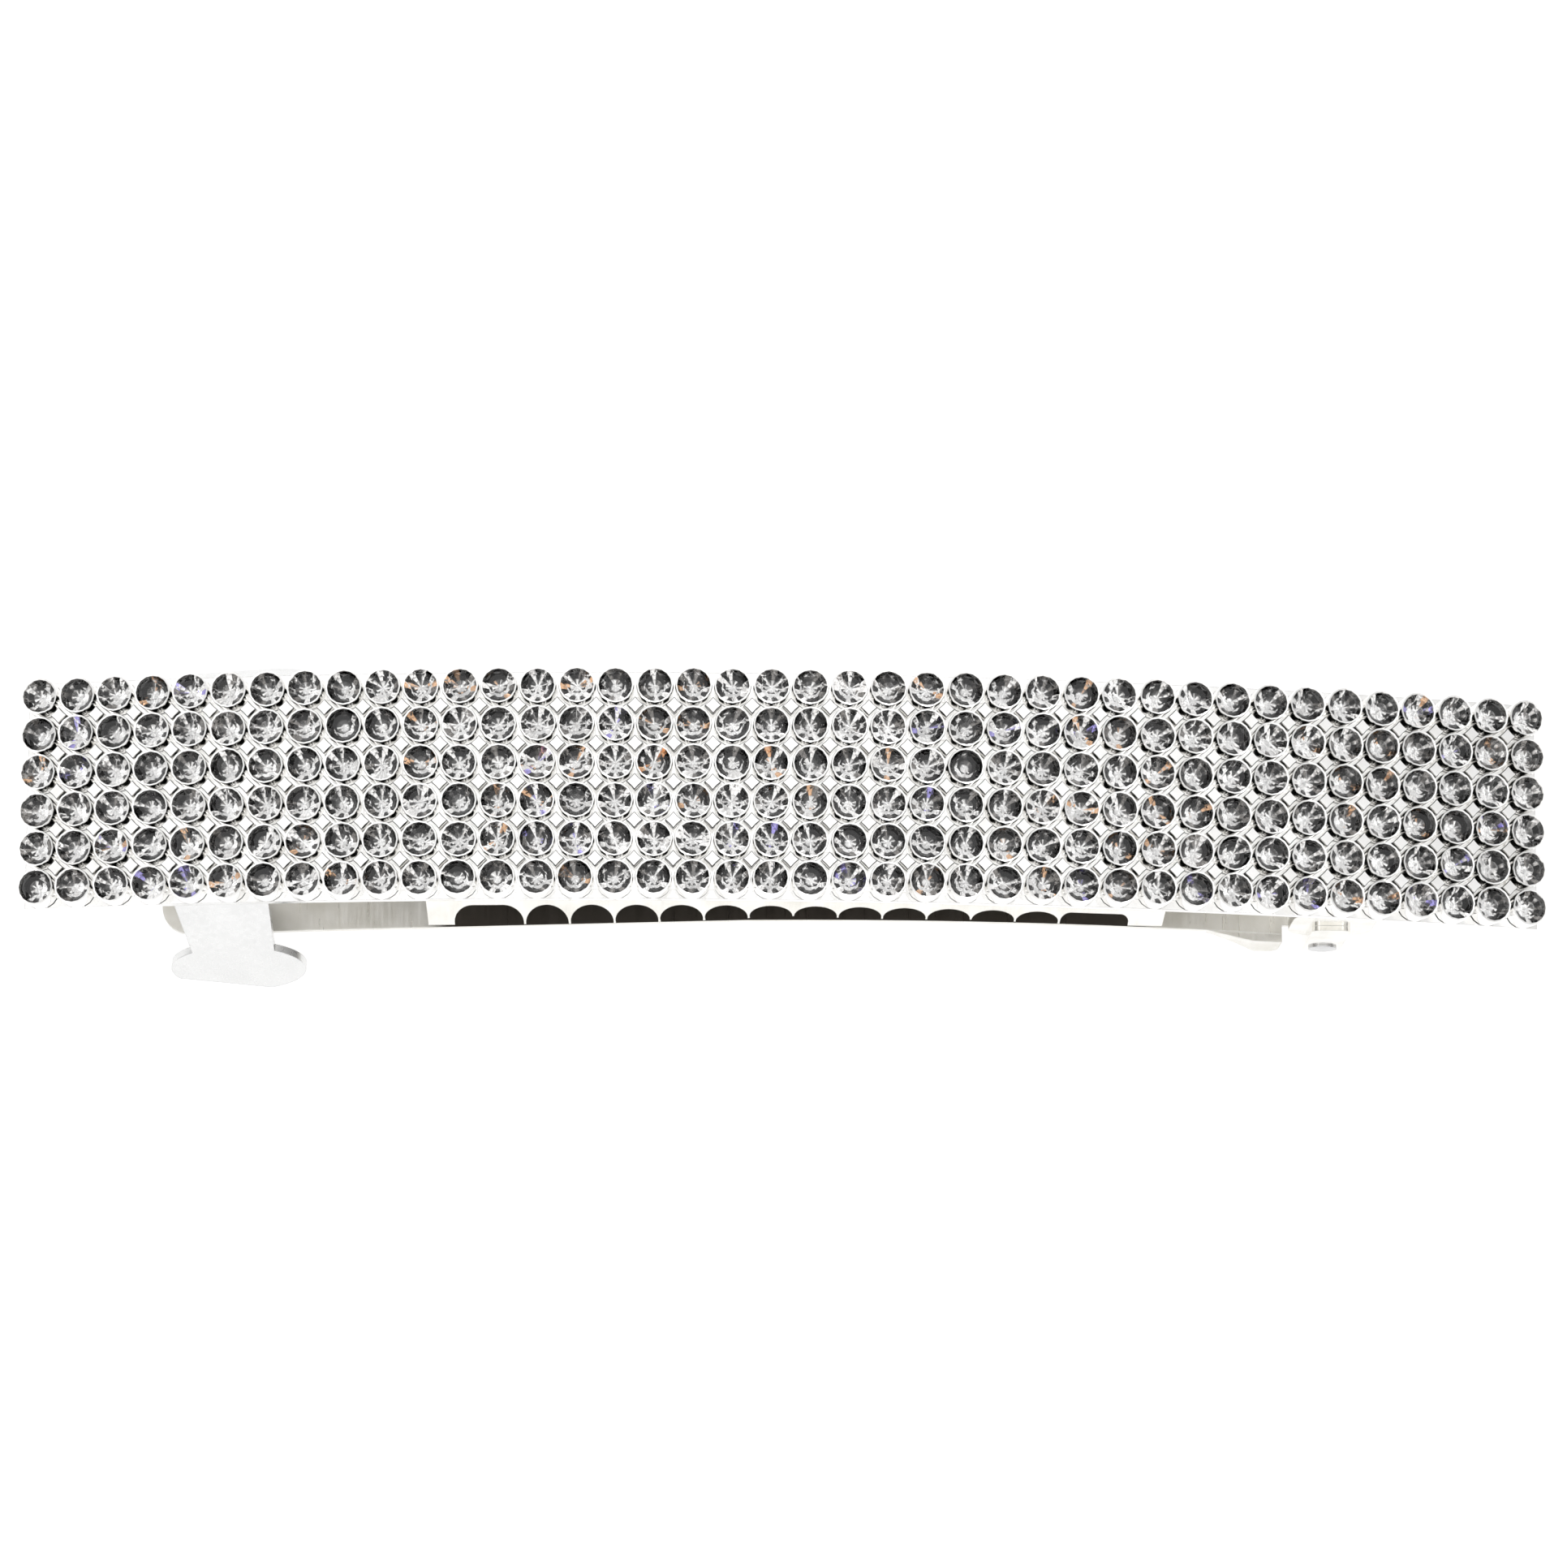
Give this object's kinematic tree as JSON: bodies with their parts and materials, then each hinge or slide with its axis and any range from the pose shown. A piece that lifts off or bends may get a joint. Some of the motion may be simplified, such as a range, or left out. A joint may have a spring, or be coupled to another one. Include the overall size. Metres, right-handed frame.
{
  "type": "hair clip",
  "caption": "Gently curved bar hair clip: rows of small bezel-set clear rhinestones on a silver plate, with a hinged toothed spring clasp behind that pinches open.",
  "frame": {"origin": "middle of the footprint of the clip as it lies face up, on its catch wings and hinge lugs", "axes": "+X along the bar towards the hinge end, +Y across the bar, +Z out of the jewelled face"},
  "size_m": [0.0908, 0.0196, 0.0153],
  "materials": {
    "bezel_silver": "bright silver plate",
    "plate_silver": "bright silver plate",
    "crystal": "faceted, foil-backed",
    "adhesive": "cured clear epoxy",
    "bright_nickel": "bright nickel plate",
    "pale_nickel": "satin nickel plate",
    "spring_steel": "nickel-plated spring steel",
    "pin_steel": "peened steel"
  },
  "bodies": {
    "bar": {"cup_row_1": "bezel_silver", "cup_row_2": "bezel_silver", "cup_row_3": "bezel_silver", "cup_row_4": "bezel_silver", "cup_row_5": "bezel_silver", "cup_row_6": "bezel_silver", "stone_row_1": "crystal", "stone_row_2": "crystal", "stone_row_3": "crystal", "stone_row_4": "crystal", "stone_row_5": "crystal", "stone_row_6": "crystal", "backing_plate": "plate_silver", "adhesive_bed": "adhesive", "clip_base": "bright_nickel", "catch_saddle": "bright_nickel", "catch_rivet": "pin_steel", "bow_foot": "spring_steel", "bow_rivet": "pin_steel", "hinge_pin": "pin_steel"},
    "arm": {"closing_arm": "bright_nickel"},
    "wing_front": {"catch_wing_front": "pale_nickel", "catch_hook_front": "pale_nickel"},
    "wing_rear": {"catch_wing_rear": "pale_nickel", "catch_hook_rear": "pale_nickel"},
    "bow": {"bow_spring": "spring_steel"}
  },
  "joints": [
    {"name": "arm_hinge", "type": "hinge", "parent": "bar", "child": "arm", "pos_m": [0.03285, 0, 0.00121], "axis": [0, -1, 0], "range_deg": [0, 90]},
    {"name": "wing_front_pinch", "type": "hinge", "parent": "bar", "child": "wing_front", "pos_m": [-0.03379, -0.00485, 0.00868], "axis": [0.9807, 0, 0.1957], "range_deg": [0, 6], "stiffness_Nm_per_rad": 0.02},
    {"name": "wing_rear_pinch", "type": "hinge", "parent": "bar", "child": "wing_rear", "pos_m": [-0.03379, 0.00485, 0.00868], "axis": [-0.9807, 0, -0.1957], "range_deg": [0, 6], "stiffness_Nm_per_rad": 0.02},
    {"name": "bow_flex", "type": "hinge", "parent": "bar", "child": "bow", "pos_m": [0.024, 0, 0.01049], "axis": [0, 1, 0], "range_deg": [0, 0.9], "stiffness_Nm_per_rad": 0.05}
  ],
  "couplings": [
    {"joint": "wing_rear_pinch", "follows": "wing_front_pinch", "ratio": 1}
  ]
}
